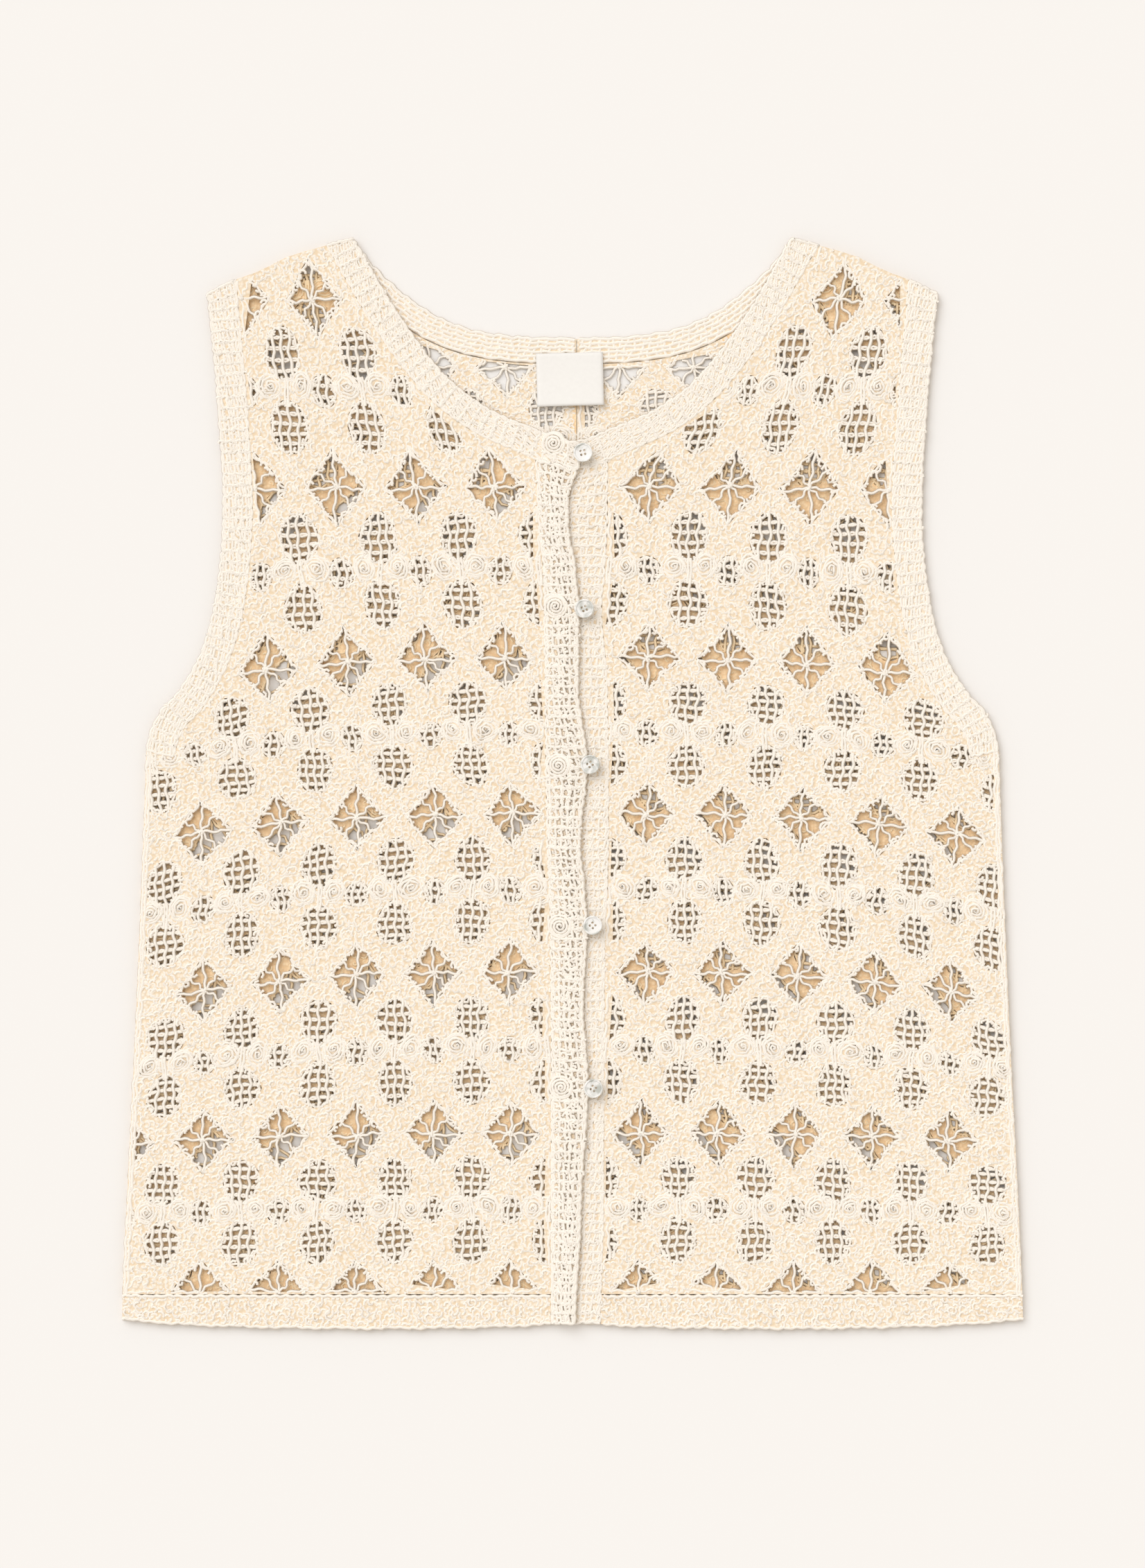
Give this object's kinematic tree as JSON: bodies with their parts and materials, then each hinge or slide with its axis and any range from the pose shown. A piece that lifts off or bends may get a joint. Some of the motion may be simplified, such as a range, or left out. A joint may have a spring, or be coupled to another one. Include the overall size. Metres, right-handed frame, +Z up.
{
  "type": "crochet knit top",
  "caption": "Sleeveless crocheted lace top laid flat, with a scooped neck, a button front, plain crocheted bands and rows of open star diamonds.",
  "frame": {"origin": "middle of the outline, on the surface that the top lies on", "axes": "+X to the right and +Y to the neck as seen from above, +Z up from the surface through the back to the front"},
  "size_m": [0.48, 0.5809, 0.0117],
  "materials": {
    "crochet_cotton": "matt cream cotton yarn, crocheted",
    "pearl_shell": "polished pale shell with a faint pearl sheen",
    "label_satin": "woven white satin tape, bare"
  },
  "bodies": {
    "root": {"back_panel_left": "crochet_cotton", "back_panel_right": "crochet_cotton", "front_panel_left": "crochet_cotton", "front_panel_right": "crochet_cotton", "front_band_left": "crochet_cotton", "front_band_right": "crochet_cotton", "neck_band_front_left": "crochet_cotton", "neck_band_front_right": "crochet_cotton", "neck_band_back_left": "crochet_cotton", "neck_band_back_right": "crochet_cotton", "armhole_band_front_left": "crochet_cotton", "armhole_band_front_right": "crochet_cotton", "armhole_band_back_left": "crochet_cotton", "armhole_band_back_right": "crochet_cotton", "hem_band_front_left": "crochet_cotton", "hem_band_front_right": "crochet_cotton", "hem_band_back_left": "crochet_cotton", "hem_band_back_right": "crochet_cotton", "button_1": "pearl_shell", "button_2": "pearl_shell", "button_3": "pearl_shell", "button_4": "pearl_shell", "button_5": "pearl_shell", "neck_label": "label_satin"}
  },
  "joints": []
}
